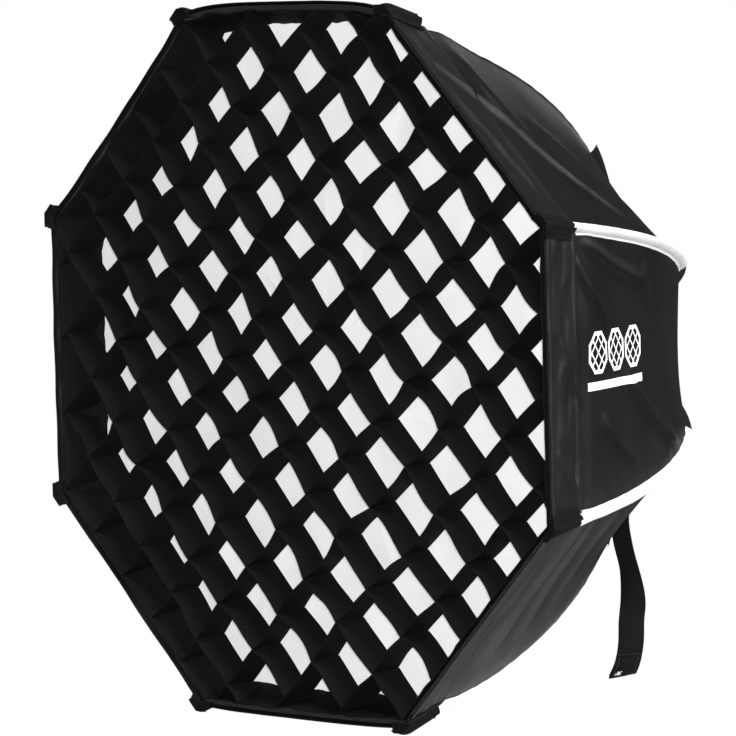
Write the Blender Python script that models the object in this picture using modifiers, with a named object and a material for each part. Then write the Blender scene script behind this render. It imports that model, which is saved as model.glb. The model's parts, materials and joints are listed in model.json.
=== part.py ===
"""Folding octagonal softbox with a square-cell fabric grid fitted on its front.

World frame: the origin is the centre of the lamp-side seat of the mounting ring, +Y runs
along the lamp axis towards the lamp, the grid faces -Y, and +Z is up.
Cloth is laid out from the front plane: its local y is the depth behind that plane.
"""
import math

import bmesh
import bpy
from mathutils import Matrix, Vector

# ---- driving dimensions, in metres and degrees -------------------------------------------
CORNERS = 8
RIM_RADIUS = 0.300            # corner of the front rim to the axis
BOX_DEPTH = 0.365             # front plane to the lamp-side seat
RIB_LENGTH = 0.412            # rim to the last point of a rib, along its bow
RIB_FRONT_SLOPE = 16.4        # angle of the rib to the axis at the rim
RIB_HUB_SLOPE = 72.0          # the same angle at the hub
RIB_BOW = 2.43                # how late along the rib the bend comes
ROD_RADIUS = 0.0025
LIP_LENGTH = 0.046            # front band that holds the grid, along the slope
CLOTH = 0.0010                # thickness given to one sewn layer
GAP = 0.0003                  # clearance between pieces that touch
SEAM_GAP = 0.005              # panel edge to the middle of its rib
PANEL_SAG = 0.006             # how far the middle of a stretched panel lies inwards
STRIPS_PER_SIDE = 5           # grid strips each side of the middle one
CELLS_ACROSS = 12             # grid cells between two opposite flats
STRIP_DEPTH = 0.030
BORDER_DEPTH = 0.040
STRIP_THICKNESS = 0.0012
GRID_TWIST = -4.0             # how far the grid sits turned in the rim
DIFFUSER_DEPTH = 0.0415       # front plane to the front of the diffuser
HUB_BORE_RADIUS = 0.043
HUB_TUBE_RADIUS = 0.050
HUB_TUBE_INNER = 0.0465
SPEED_RING_RADIUS = 0.074
FLANGE_RADIUS = 0.075
RETAINER_RADIUS = 0.056
LUG_RADIUS = 0.049
PIN_RADIUS = 0.0015
HEEL_RADIUS = 0.0045
HEEL_WIDTH = 0.008
STRAP_WIDTH = 0.021
STRAP_THICKNESS = 0.0015
KNOB_RADIUS = 0.009

HALF_SIDE = math.pi / CORNERS
FRONT_SLOPE = math.radians(RIB_FRONT_SLOPE)
PITCH = 2 * RIM_RADIUS * math.cos(HALF_SIDE) / CELLS_ACROSS
CORNER_ANGLES = [HALF_SIDE + 2 * HALF_SIDE * i for i in range(CORNERS)]
PANEL_ANGLES = [2 * HALF_SIDE * i for i in range(CORNERS)]

BLACK_CLOTH = (0.018, 0.018, 0.020)
WHITE_CLOTH = (0.86, 0.86, 0.85)
BLACK_WEBBING = (0.012, 0.012, 0.013)
BLACK_METAL = (0.030, 0.030, 0.032)
BARE_METAL = (0.55, 0.55, 0.56)
BLACK_PLASTIC = (0.020, 0.020, 0.021)


# ---- scene -------------------------------------------------------------------------------
for old in list(bpy.data.objects):
    bpy.data.objects.remove(old, do_unlink=True)

parts = bpy.data.collections.new("folding_softbox_with_grid")
cutters = bpy.data.collections.new("cutters")
bpy.context.scene.collection.children.link(parts)
bpy.context.scene.collection.children.link(cutters)


def empty(name, location, parent=None):
    """An axis or a frame that pieces hang from."""
    axis = bpy.data.objects.new(name, None)
    axis.location = location
    axis.parent = parent
    parts.objects.link(axis)
    return axis


def material(name, color, roughness, metallic=0.0):
    finish = bpy.data.materials.new(name)
    finish.use_nodes = True
    shader = finish.node_tree.nodes["Principled BSDF"]
    shader.inputs["Base Color"].default_value = (*color, 1.0)
    shader.inputs["Roughness"].default_value = roughness
    shader.inputs["Metallic"].default_value = metallic
    return finish


def add_object(name, data, parent, color, roughness=0.8, metallic=0.0, collection=parts):
    """One named piece with its own material, hung from its parent's frame."""
    piece = bpy.data.objects.new(name, data)
    piece.parent = parent
    piece.data.materials.clear()
    piece.data.materials.append(material(name, color, roughness, metallic))
    collection.objects.link(piece)
    return piece


def add_cutter(name, data, parent):
    cutter = bpy.data.objects.new(name, data)
    cutter.parent = parent
    cutter.hide_render = True
    cutter.display_type = 'WIRE'
    cutters.objects.link(cutter)
    return cutter


def cut(piece, cutter, operation='DIFFERENCE'):
    boolean = piece.modifiers.new(cutter.name, 'BOOLEAN')
    boolean.operation = operation
    boolean.object = cutter


lamp_seat = empty("lamp_seat", (0, 0, 0))
spin_axis = empty("spin_axis", (0, 0, 0), lamp_seat)
front_plane = empty("front_plane", (0, -BOX_DEPTH, 0), spin_axis)
front_cloth_axis = empty("front_cloth_axis", (0, 0, 0), front_plane)
grid_axis = empty("grid_axis", (0, 0, 0), front_cloth_axis)


# ---- geometry of the shell -----------------------------------------------------------------
def profile(s):
    """Radius, depth and slope of the rib line at the distance s from the rim."""
    steps = 48
    step = s / steps
    radius = RIM_RADIUS
    depth = 0.0
    bend = math.radians(RIB_HUB_SLOPE - RIB_FRONT_SLOPE)
    for i in range(steps):
        slope = FRONT_SLOPE + bend * (step * (i + 0.5) / RIB_LENGTH) ** RIB_BOW
        radius -= math.sin(slope) * step
        depth += math.cos(slope) * step
    return radius, depth, FRONT_SLOPE + bend * (s / RIB_LENGTH) ** RIB_BOW


def around(angle, radius, depth, side):
    """The point at a radius and a depth, moved sideways across the radial direction."""
    return Vector((radius * math.cos(angle) - side * math.sin(angle), depth,
                   radius * math.sin(angle) + side * math.cos(angle)))


def rib_point(angle, s, outward=0.0, side=0.0):
    radius, depth, slope = profile(s)
    return around(angle, radius + outward * math.cos(slope), depth + outward * math.sin(slope),
                  side)


def panel_point(angle, s, across, margin, outward=0.0):
    """A point of the flat panel between two ribs; across runs from -1 to 1."""
    radius, depth, slope = profile(s)
    slope = math.atan(math.tan(slope) * math.cos(HALF_SIDE))
    apothem = radius * math.cos(HALF_SIDE) + outward * math.cos(slope)
    side = across * (apothem * math.tan(HALF_SIDE) - margin)
    return around(angle, apothem, depth + outward * math.sin(slope), side)


def band_corner(depth, outward):
    """Corner radius, at a depth, of an eight-sided band on the front slope, moved outwards."""
    moved = outward / math.cos(HALF_SIDE) / math.cos(FRONT_SLOPE)
    return RIM_RADIUS - depth * math.tan(FRONT_SLOPE) + moved


def lerp(low, high, t):
    return low + (high - low) * t


def turn_to(angle):
    """Local x to the radial direction at an angle, local z across it."""
    return Matrix.Rotation(-angle, 4, 'Y')


# ---- builders ------------------------------------------------------------------------------
def thicken(piece, thickness, offset=-1.0):
    """Give an open sheet its thickness; offset -1 grows it inwards."""
    layer = piece.modifiers.new("thickness", 'SOLIDIFY')
    layer.thickness = thickness
    layer.offset = offset
    return layer


def mesh_from(name, net):
    data = bpy.data.meshes.new(name)
    net.to_mesh(data)
    net.free()
    return data


def cloth(name, parent, place, across, along, thickness, color, roughness=0.85):
    """A sheet laid by place(u, v) and thickened inwards; u is -1 to 1 across, v is 0 to 1 along."""
    net = bmesh.new()
    bmesh.ops.create_grid(net, x_segments=across, y_segments=along, size=1.0)
    for vert in net.verts:
        vert.co = place(-vert.co.x, (vert.co.y + 1) / 2)
    piece = add_object(name, mesh_from(name, net), parent, color, roughness)
    thicken(piece, thickness)
    return piece


def octagon_band(name, parent, start, end, outward, color):
    """An eight-sided band that follows the front slope between two depths."""
    front = band_corner(start, outward)
    back = band_corner(end, outward)
    net = bmesh.new()
    stand = Matrix.Translation((0, (start + end) / 2, 0)) @ Matrix.Rotation(-math.pi / 2, 4, 'X')
    bmesh.ops.create_cone(net, cap_ends=False, segments=CORNERS, radius1=front, radius2=back,
                          depth=end - start, matrix=stand @ Matrix.Rotation(HALF_SIDE, 4, 'Z'))
    piece = add_object(name, mesh_from(name, net), parent, color)
    thicken(piece, CLOTH).use_even_offset = True
    return piece


def outline_mesh(points, thickness):
    """A flat outline in its own xy plane, thickened both ways."""
    curve = bpy.data.curves.new("outline", 'CURVE')
    curve.dimensions = '2D'
    curve.fill_mode = 'BOTH'
    curve.extrude = thickness / 2
    line = curve.splines.new('POLY')
    line.points.add(len(points) - 1)
    for point, (x, y) in zip(line.points, points):
        point.co = (x, y, 0, 1)
    line.use_cyclic_u = True
    holder = bpy.data.objects.new("outline", curve)
    cutters.objects.link(holder)
    bpy.context.view_layer.update()
    depsgraph = bpy.context.evaluated_depsgraph_get()
    solid = bpy.data.meshes.new_from_object(holder.evaluated_get(depsgraph))
    bpy.data.objects.remove(holder, do_unlink=True)
    return solid


def joined(name, solids):
    """One mesh from several (mesh, matrix) pairs, each still a separate solid."""
    net = bmesh.new()
    for solid, matrix in solids:
        placed = solid.copy()
        placed.transform(matrix)
        net.from_mesh(placed)
    bmesh.ops.remove_doubles(net, verts=net.verts, dist=0.00001)
    return mesh_from(name, net)


def box_mesh(low, high):
    net = bmesh.new()
    size = [b - a for a, b in zip(low, high)]
    middle = [(a + b) / 2 for a, b in zip(low, high)]
    place = Matrix.Translation(middle) @ Matrix.Diagonal((*size, 1))
    bmesh.ops.create_cube(net, size=1.0, matrix=place)
    return mesh_from("box", net)


def rod_mesh(radius, start, end, segments=12):
    """A round bar between two points."""
    net = bmesh.new()
    axis = Vector(end) - Vector(start)
    turn = axis.to_track_quat('Z', 'Y').to_matrix().to_4x4()
    place = Matrix.Translation((Vector(start) + Vector(end)) / 2) @ turn
    bmesh.ops.create_cone(net, cap_ends=True, segments=segments, radius1=radius, radius2=radius,
                          depth=axis.length, matrix=place)
    return mesh_from("rod", net)


def turned(name, parent, outline, color, roughness, metallic, steps=40):
    """A ring turned about the Y axis; the outline is (radius, y), outer side first, front to back."""
    net = bmesh.new()
    verts = [net.verts.new((radius, y, 0)) for radius, y in reversed(outline)]
    for first, second in zip(verts, verts[1:] + verts[:1]):
        net.edges.new((first, second))
    piece = add_object(name, mesh_from(name, net), parent, color, roughness, metallic)
    screw = piece.modifiers.new("turn", 'SCREW')
    screw.axis = 'Y'
    screw.steps = steps
    screw.render_steps = steps
    screw.merge_threshold = 0.00001
    screw.use_merge_vertices = True
    return piece


def at_corners(solid):
    return [(solid, turn_to(angle)) for angle in CORNER_ANGLES]


# ---- the grid ------------------------------------------------------------------------------
LIP_OFFSET = -(ROD_RADIUS + GAP) * math.cos(HALF_SIDE)   # the lip passes inside the rib tips
LAYER = CLOTH + GAP
LOOP_OFFSET = LIP_OFFSET - LAYER
HOOK_OFFSET = LOOP_OFFSET - LAYER
BORDER_OFFSET = HOOK_OFFSET - LAYER
STRIP_END_OFFSET = BORDER_OFFSET - LAYER - GAP
GRID_FRONT = 0.0005
GRID_BACK = GRID_FRONT + STRIP_DEPTH
GRID_MIDDLE = (GRID_FRONT + GRID_BACK) / 2
HALF_SLOT = STRIP_THICKNESS / 2 + GAP


def inner_apothem(depth):
    """Axis to the inner face of the grid's border, at a depth."""
    return band_corner(depth, STRIP_END_OFFSET) * math.cos(HALF_SIDE)


def reach(offset, heading, depth, way):
    """How far a strip runs from its middle before it meets the border."""
    across = Vector((-math.sin(heading), math.cos(heading)))
    along = Vector((math.cos(heading), math.sin(heading))) * way
    found = []
    for edge in (-STRIP_THICKNESS / 2, STRIP_THICKNESS / 2):
        start = across * (offset + edge)
        for angle in PANEL_ANGLES:
            normal = Vector((math.cos(angle), math.sin(angle)))
            if along.dot(normal) > 0.05:
                found.append((inner_apothem(depth) - start.dot(normal)) / along.dot(normal))
    return min(found)


def crossings(offset, heading):
    """Places along a strip where the other family crosses it: in full, and only at its slanted end."""
    across = Vector((-math.sin(heading), math.cos(heading)))
    along = Vector((math.cos(heading), math.sin(heading)))
    full = []
    at_end = []
    for i in range(-STRIPS_PER_SIDE, STRIPS_PER_SIDE + 1):
        point = across * offset + along * (i * PITCH)
        outermost = max(point.dot(Vector((math.cos(a), math.sin(a)))) for a in PANEL_ANGLES)
        if outermost < inner_apothem(GRID_BACK) - HALF_SLOT:
            full.append(i * PITCH)
        elif outermost < inner_apothem(GRID_FRONT) + 2 * HALF_SLOT:
            at_end.append(i * PITCH)
    return full, at_end


def strip_outline(offset, heading, slots_at_front):
    """Outline of one strip, x along the strip and y in depth, with its half-lap slots."""
    if slots_at_front:
        slotted, plain, floor = GRID_FRONT, GRID_BACK, GRID_MIDDLE + GAP / 2
    else:
        slotted, plain, floor = GRID_BACK, GRID_FRONT, GRID_MIDDLE - GAP / 2
    full, at_end = crossings(offset, heading)
    low = -RIM_RADIUS
    high = RIM_RADIUS
    if not slots_at_front:      # this family stops short of a strip that it would meet at its end
        low = max([x + HALF_SLOT for x in at_end if x < 0], default=low)
        high = min([x - HALF_SLOT for x in at_end if x > 0], default=high)
    points = [(max(low, -reach(offset, heading, slotted, -1)), slotted)]
    for x in full:
        points += [(x - HALF_SLOT, slotted), (x - HALF_SLOT, floor)]
        points += [(x + HALF_SLOT, floor), (x + HALF_SLOT, slotted)]
    points.append((min(high, reach(offset, heading, slotted, 1)), slotted))
    points.append((min(high, reach(offset, heading, plain, 1)), plain))
    points.append((max(low, -reach(offset, heading, plain, -1)), plain))
    return points


def strip_matrix(offset, heading):
    """Strip x along its heading, strip y to depth, moved sideways by its offset."""
    along = Vector((math.cos(heading), 0, math.sin(heading)))
    depth = Vector((0, 1, 0))
    side = along.cross(depth)
    turn = Matrix((along, depth, side)).transposed().to_4x4()
    return Matrix.Translation(Vector((-math.sin(heading), 0, math.cos(heading))) * offset) @ turn


def make_strips(family, heading, slots_at_front):
    for i in range(-STRIPS_PER_SIDE, STRIPS_PER_SIDE + 1):
        name = f"grid_strip_{family}_{i + STRIPS_PER_SIDE + 1:02d}"
        solid = outline_mesh(strip_outline(i * PITCH, heading, slots_at_front), STRIP_THICKNESS)
        placed = joined(name, [(solid, strip_matrix(i * PITCH, heading))])
        add_object(name, placed, grid_axis, BLACK_CLOTH)


make_strips("rising", math.radians(45 + GRID_TWIST), True)
make_strips("falling", math.radians(135 + GRID_TWIST), False)
octagon_band("grid_border", grid_axis, GRID_FRONT, GRID_FRONT + BORDER_DEPTH, BORDER_OFFSET, BLACK_CLOTH)
octagon_band("grid_hook_tape", grid_axis, 0.004, 0.024, HOOK_OFFSET, BLACK_WEBBING)


# ---- the diffuser --------------------------------------------------------------------------
DIFFUSER_CORNER = band_corner(DIFFUSER_DEPTH + 3 * CLOTH, LOOP_OFFSET - GAP)
HEM_WIDTH = 0.013
stand = Matrix.Rotation(-math.pi / 2, 4, 'X') @ Matrix.Rotation(HALF_SIDE, 4, 'Z')

sheet = bmesh.new()
bmesh.ops.create_cone(sheet, cap_ends=True, segments=CORNERS, radius1=DIFFUSER_CORNER,
                      radius2=DIFFUSER_CORNER, depth=CLOTH,
                      matrix=Matrix.Translation((0, DIFFUSER_DEPTH + CLOTH / 2, 0)) @ stand)
add_object("diffuser_sheet", mesh_from("diffuser_sheet", sheet), front_cloth_axis, WHITE_CLOTH)

hem = bmesh.new()
bmesh.ops.create_cone(hem, cap_ends=False, segments=CORNERS, radius1=DIFFUSER_CORNER,
                      radius2=DIFFUSER_CORNER - HEM_WIDTH, depth=0.0,
                      matrix=Matrix.Translation((0, DIFFUSER_DEPTH + CLOTH + GAP, 0)) @ stand)
hem_ring = add_object("diffuser_hem", mesh_from("diffuser_hem", hem), front_cloth_axis, BLACK_WEBBING)
thicken(hem_ring, CLOTH, 1.0)


# ---- the shell -----------------------------------------------------------------------------
BRACKET_MARGIN = 0.010
GORE_END = RIB_LENGTH + 0.004
PIVOT_RADIUS, PIVOT_DEPTH, PIVOT_SLOPE = profile(RIB_LENGTH + 0.006)


def gore_place(angle):
    """The panel between two ribs; it narrows at its inner end to pass between two brackets."""
    def place(u, v):
        s = lerp(LIP_LENGTH + GAP, GORE_END, v)
        near_hub = min(max((0.104 - profile(s)[0]) / 0.008, 0.0), 1.0)
        margin = lerp(SEAM_GAP, BRACKET_MARGIN, near_hub)
        sag = PANEL_SAG * (1 - u * u) * math.sin(math.pi * v)
        return panel_point(angle, s, u, margin, CLOTH / 2 - sag)
    return place


for i, angle in enumerate(PANEL_ANGLES):
    cloth(f"gore_{i + 1}", front_plane, gore_place(angle), 2, 12, CLOTH, BLACK_CLOTH, 0.6)
octagon_band("lip_band", front_plane, 0.0, LIP_LENGTH * math.cos(FRONT_SLOPE), LIP_OFFSET, BLACK_CLOTH)
octagon_band("lip_loop_tape", front_plane, 0.004, 0.024, LOOP_OFFSET, BLACK_WEBBING)


# ---- ribs and their heels, one pair at each corner -----------------------------------------
HEEL_ARM = 0.014              # pivot to the end of the heel that holds the rod
ROD_END = RIB_LENGTH + 0.006 - HEEL_ARM - 2 * GAP
END_RADIUS, END_DEPTH, END_SLOPE = profile(ROD_END)
HEEL_LEAN = math.atan2(END_DEPTH - PIVOT_DEPTH, END_RADIUS - PIVOT_RADIUS)


def make_rod():
    """The bowed rod, measured from its pivot, in the radial plane."""
    curve = bpy.data.curves.new("rib_rod", 'CURVE')
    curve.dimensions = '3D'
    curve.bevel_depth = ROD_RADIUS
    curve.bevel_resolution = 2
    curve.use_fill_caps = True
    line = curve.splines.new('POLY')
    count = 13
    line.points.add(count - 1)
    for i, point in enumerate(line.points):
        radius, depth, slope = profile(lerp(0.004, ROD_END, i / (count - 1)))
        point.co = (radius - PIVOT_RADIUS, depth - PIVOT_DEPTH, 0, 1)
    return curve


def make_heel():
    """The hinged end of a rib: an eye on the pin and an arm that grips the rod."""
    half = HEEL_WIDTH / 2
    arm = box_mesh((0.002, -0.003, -0.003), (HEEL_ARM, 0.003, 0.003))
    eye = rod_mesh(HEEL_RADIUS, (0, 0, -half), (0, 0, half), 16)
    leaning_arm = joined("heel_arm", [(arm, Matrix.Rotation(HEEL_LEAN, 4, 'Z'))])
    bore = rod_mesh(PIN_RADIUS + GAP, (0, 0, -0.006), (0, 0, 0.006), 10)
    return eye, leaning_arm, bore


rod_curve = make_rod()
eye_mesh, arm_mesh, heel_bore = make_heel()
for i, angle in enumerate(CORNER_ANGLES):
    pivot = around(angle, PIVOT_RADIUS, PIVOT_DEPTH, 0.0)
    hinge = empty(f"rib_hinge_{i + 1}", pivot, front_plane)
    hinge.rotation_euler = (0, -angle, 0)
    add_object(f"rib_rod_{i + 1}", rod_curve.copy(), hinge, BARE_METAL, 0.35, 0.8)
    heel = add_object(f"rib_heel_{i + 1}", eye_mesh.copy(), hinge, BLACK_METAL, 0.45, 0.6)
    cut(heel, add_cutter(f"heel_arm_{i + 1}", arm_mesh, hinge), 'UNION')
    cut(heel, add_cutter(f"heel_bore_{i + 1}", heel_bore, hinge))


# ---- the hub -------------------------------------------------------------------------------
RING_FRONT = -0.0408
RING_BACK = -0.0045
RING_WALL = 0.003
BRACKET_BASE = 0.0027
EAR_SIDE = 0.0073
PIVOT_Y = PIVOT_DEPTH - BOX_DEPTH

speed_ring = turned("speed_ring", spin_axis,
                    [(SPEED_RING_RADIUS, RING_FRONT), (SPEED_RING_RADIUS, RING_BACK),
                     (SPEED_RING_RADIUS - RING_WALL, RING_BACK),
                     (SPEED_RING_RADIUS - RING_WALL, RING_FRONT + RING_WALL),
                     (HUB_TUBE_RADIUS + 0.0005 + RING_WALL, RING_FRONT + RING_WALL),
                     (HUB_TUBE_RADIUS + 0.0005 + RING_WALL, RING_BACK),
                     (HUB_TUBE_RADIUS + 0.0005, RING_BACK), (HUB_TUBE_RADIUS + 0.0005, RING_FRONT)],
                    BLACK_METAL, 0.4, 0.7)
bayonet_ring = turned("bayonet_ring", lamp_seat,
                      [(HUB_TUBE_RADIUS, -0.0410), (HUB_TUBE_RADIUS, -0.0040), (FLANGE_RADIUS, -0.0040),
                       (FLANGE_RADIUS, 0.0), (LUG_RADIUS - 0.003, 0.0), (LUG_RADIUS - 0.003, 0.0140),
                       (HUB_BORE_RADIUS, 0.0140), (HUB_BORE_RADIUS, -0.0040),
                       (HUB_TUBE_INNER, -0.0040), (HUB_TUBE_INNER, -0.0410)],
                      BARE_METAL, 0.3, 1.0)
retainer_ring = turned("retainer_ring", lamp_seat,
                       [(RETAINER_RADIUS, -0.0443), (RETAINER_RADIUS, -0.0413),
                        (HUB_TUBE_INNER, -0.0413), (HUB_TUBE_INNER, -0.0443)],
                       BLACK_METAL, 0.4, 0.7)

LUG_ANGLES = [math.radians(90 + 120 * i) for i in range(3)]
lug = box_mesh((LUG_RADIUS - 0.0045, 0.008, -0.008), (LUG_RADIUS, 0.0135, 0.008))
lugs = joined("bayonet_lugs", [(lug, turn_to(a)) for a in LUG_ANGLES])
cut(bayonet_ring, add_cutter("bayonet_lugs", lugs, lamp_seat), 'UNION')

# Eight forks stand on the ring, each with a riveted pin that its rib's heel turns on.
block = box_mesh((SPEED_RING_RADIUS - RING_WALL, PIVOT_Y - 0.007, -EAR_SIDE),
                 (PIVOT_RADIUS + 0.005, PIVOT_Y + 0.007, EAR_SIDE))
slot = box_mesh((SPEED_RING_RADIUS + BRACKET_BASE, PIVOT_Y - 0.02, -HEEL_WIDTH / 2 - GAP),
                (PIVOT_RADIUS + 0.02, PIVOT_Y + 0.02, HEEL_WIDTH / 2 + GAP))
pin_end = EAR_SIDE + 0.0006
pin = rod_mesh(PIN_RADIUS, (PIVOT_RADIUS, PIVOT_Y, -pin_end), (PIVOT_RADIUS, PIVOT_Y, pin_end), 10)
cut(speed_ring, add_cutter("fork_blocks", joined("fork_blocks", at_corners(block)), spin_axis), 'UNION')
cut(speed_ring, add_cutter("fork_slots", joined("fork_slots", at_corners(slot)), spin_axis))
cut(speed_ring, add_cutter("fork_pins", joined("fork_pins", at_corners(pin)), spin_axis), 'UNION')

# The clamp knob turns on a radial screw at the bottom of the ring.
KNOB_Y = -0.0165
knob_axis = empty("knob_axis", (0, KNOB_Y, 0), spin_axis)
knob_bore = rod_mesh(0.0029, (0, KNOB_Y, -0.045), (0, KNOB_Y, -0.080), 12)
cut(speed_ring, add_cutter("knob_bore", knob_bore, spin_axis))
KNOB_FACE = 0.0765
screw = rod_mesh(0.0025, (0, 0, -HUB_TUBE_RADIUS - GAP), (0, 0, GAP - KNOB_FACE), 12)
add_object("clamp_screw", screw, knob_axis, BARE_METAL, 0.3, 1.0)
knob_body = rod_mesh(KNOB_RADIUS, (0, 0, -KNOB_FACE), (0, 0, -KNOB_FACE - 0.014), 20)
knob = add_object("clamp_knob", knob_body, knob_axis, BLACK_PLASTIC, 0.5)
edge = knob.modifiers.new("edge", 'BEVEL')
edge.width = 0.0012
edge.segments = 1
edge.limit_method = 'ANGLE'


# ---- the storage strap, sewn by its upper end beside a lower rib ---------------------------
STRAP_DEPTH = 0.324
STRAP_ROUTE = [(0.054, -0.112), (0.049, -0.130), (0.046, -0.148), (0.049, -0.167), (0.056, -0.190),
               (0.059, -0.212), (0.057, -0.230), (0.056, -0.247), (0.052, -0.261), (0.046, -0.274)]
STRAP_TURN_TOP = -11.0        # heading of the strap's width, seen from above
STRAP_TURN_END = 45.0

strap_axis = empty("strap_axis", (STRAP_ROUTE[0][0], STRAP_DEPTH, STRAP_ROUTE[0][1]), front_plane)


def strap_place(u, v):
    """Along the hanging route, turning from the seam to face forward and outward."""
    position = v * (len(STRAP_ROUTE) - 1)
    i = min(int(position), len(STRAP_ROUTE) - 2)
    t = position - i
    x = lerp(STRAP_ROUTE[i][0], STRAP_ROUTE[i + 1][0], t)
    z = lerp(STRAP_ROUTE[i][1], STRAP_ROUTE[i + 1][1], t)
    turn = math.radians(lerp(STRAP_TURN_TOP, STRAP_TURN_END, min(v * 1.4, 1.0)))
    side = u * STRAP_WIDTH / 2
    place = Vector((x + side * math.cos(turn), STRAP_DEPTH + side * math.sin(turn), z))
    return place - strap_axis.location


strap = cloth("storage_strap", strap_axis, strap_place, 1, 18, STRAP_THICKNESS, BLACK_WEBBING)
strap.modifiers["thickness"].offset = 0.0
snap_middle = strap_place(-0.45, 0.96)
snap_along = strap_place(-0.45, 0.99) - snap_middle
snap_across = strap_place(0.45, 0.96) - snap_middle
snap_out = snap_along.cross(snap_across).normalized()
snap_foot = STRAP_THICKNESS / 2 + 2 * GAP
snap_face = snap_middle + snap_out * (snap_foot + 0.0016)
snap = rod_mesh(0.0035, snap_middle + snap_out * snap_foot, snap_face, 12)
add_object("strap_snap", snap, strap_axis, BARE_METAL, 0.3, 1.0)
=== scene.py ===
import json
import random
from math import atan, cos, exp, pi, radians, sin, sqrt, tan, tanh

import bmesh
import bpy
from mathutils import Matrix, Vector, noise

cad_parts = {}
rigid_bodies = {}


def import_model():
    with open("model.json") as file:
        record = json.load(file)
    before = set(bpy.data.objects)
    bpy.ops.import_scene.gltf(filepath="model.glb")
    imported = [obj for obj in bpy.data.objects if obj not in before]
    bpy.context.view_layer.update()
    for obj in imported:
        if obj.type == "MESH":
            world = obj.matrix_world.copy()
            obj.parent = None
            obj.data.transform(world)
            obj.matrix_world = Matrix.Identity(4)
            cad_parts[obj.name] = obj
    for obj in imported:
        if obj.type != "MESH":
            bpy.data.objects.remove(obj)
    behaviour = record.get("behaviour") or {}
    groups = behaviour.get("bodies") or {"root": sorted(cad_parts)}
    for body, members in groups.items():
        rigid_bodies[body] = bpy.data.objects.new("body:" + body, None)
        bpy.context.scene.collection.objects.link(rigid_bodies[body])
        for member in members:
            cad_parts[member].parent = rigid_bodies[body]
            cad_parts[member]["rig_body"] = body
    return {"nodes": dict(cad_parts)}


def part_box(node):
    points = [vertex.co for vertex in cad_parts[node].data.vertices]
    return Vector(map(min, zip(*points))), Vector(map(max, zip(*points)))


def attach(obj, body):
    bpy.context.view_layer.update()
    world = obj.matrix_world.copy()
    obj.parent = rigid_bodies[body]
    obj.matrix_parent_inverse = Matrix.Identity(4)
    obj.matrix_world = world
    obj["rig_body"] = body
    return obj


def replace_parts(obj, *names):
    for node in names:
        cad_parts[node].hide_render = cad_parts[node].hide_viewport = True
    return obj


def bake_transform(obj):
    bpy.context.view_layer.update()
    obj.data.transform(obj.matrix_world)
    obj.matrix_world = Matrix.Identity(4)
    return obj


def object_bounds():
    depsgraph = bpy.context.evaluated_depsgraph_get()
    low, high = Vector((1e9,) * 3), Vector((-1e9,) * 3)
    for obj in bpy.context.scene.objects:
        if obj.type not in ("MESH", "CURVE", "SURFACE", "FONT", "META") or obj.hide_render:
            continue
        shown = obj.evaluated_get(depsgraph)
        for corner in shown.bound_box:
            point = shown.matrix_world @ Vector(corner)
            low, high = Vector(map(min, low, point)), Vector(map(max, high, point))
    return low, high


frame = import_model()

cad_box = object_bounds()

# ---- sizes, in metres and degrees ----
CORNERS = 8
HALF_SIDE = pi / CORNERS
FRONT_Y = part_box("lip_band")[0].y
RIM_RADIUS = 0.300
RIB_LENGTH = 0.412
FRONT_SLOPE = radians(16.4)
HUB_SLOPE = radians(72.0)
RIB_BOW = 2.43
RIB_STEP = 0.0005
RIB_STEPS = int(0.45 / RIB_STEP)
LIP_LENGTH = 0.046
GORE_END = RIB_LENGTH + 0.004
LIP_OFFSET = -0.0028 * cos(HALF_SIDE)
CLOTH_LAYER = 0.0013
BORDER_OFFSET = LIP_OFFSET - 3 * CLOTH_LAYER
STRIP_END_OFFSET = BORDER_OFFSET - CLOTH_LAYER - 0.0003
PANEL_SAG = 0.006
PITCH = 2 * RIM_RADIUS * cos(HALF_SIDE) / 12
STRIPS_PER_SIDE = 5
STRIP_THICKNESS = 0.0008
GRID_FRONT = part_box("grid_border")[0].y - FRONT_Y
BORDER_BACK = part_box("grid_border")[1].y - FRONT_Y
STRIP_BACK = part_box("grid_strip_rising_06")[1].y - FRONT_Y
GRID_TWIST = -4.0
DIFFUSER_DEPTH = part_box("diffuser_sheet")[0].y - FRONT_Y
SEAM_EDGE = 0.0028  # panel edge to the middle of its rib
ROD_SLEEVE = 0.0036  # half width of the tunnel a rod runs in
SLEEVE_EDGE = 0.0050  # half width of a sleeve with its sewn edges
POCKET_EDGE = 0.0098
# How far the middle of each side of the rim stands out of the straight octagon, panel by panel
RIM_BULGE = (0.0, 0.0, 0.0080, -0.0030, 0.0006, -0.0006, 0.0022, 0.0)
DROOP = 0.0045  # how far the cloth hangs below the ribs at half depth
WHITE_SLEEVE = (0.036, 0.310)
REAR_SLEEVE = (0.308, 0.398)
STITCH = 0.0032  # one stitch and the gap after it

# The grid's cloth: where it isn't straight, how its strips cross, and how finely they are laid
DRIFT_FRONT = 0.0056  # how far the strips' crossings have moved sideways, at the front edge
DRIFT_BACK = 0.0024
GRID_TAPER = 0.014  # share by which the cells are narrower at the back
GRID_SLACK = 0.0098  # how far the loose middle of the grid hangs to one side
MOST_BOW = 0.0030  # of a strip, between two crossings
BORDER_SLACK = (0.3, 0.8, 1.0, 1.0, 1.0, 1.0, 1.0, 0.8)  # depth of the border's wrinkles, side by side
SLOT = 0.0010  # half width of the slots where two strips are half-lapped
CELL_STEPS = 9
DEPTH_STEPS = 10

# The printed mark, on the panel's middle line: three rings with a lattice, and a bar below them
MARK_HEIGHT = 0.0135
MARK_DEPTH = 0.116
MARK_RADIUS = 0.0165
MARK_PITCH = 0.0360
MARK_CELL = 0.0060
MARK_LINE = 0.0030
MARK_BAR = (-0.0290, -0.0225)

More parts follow.
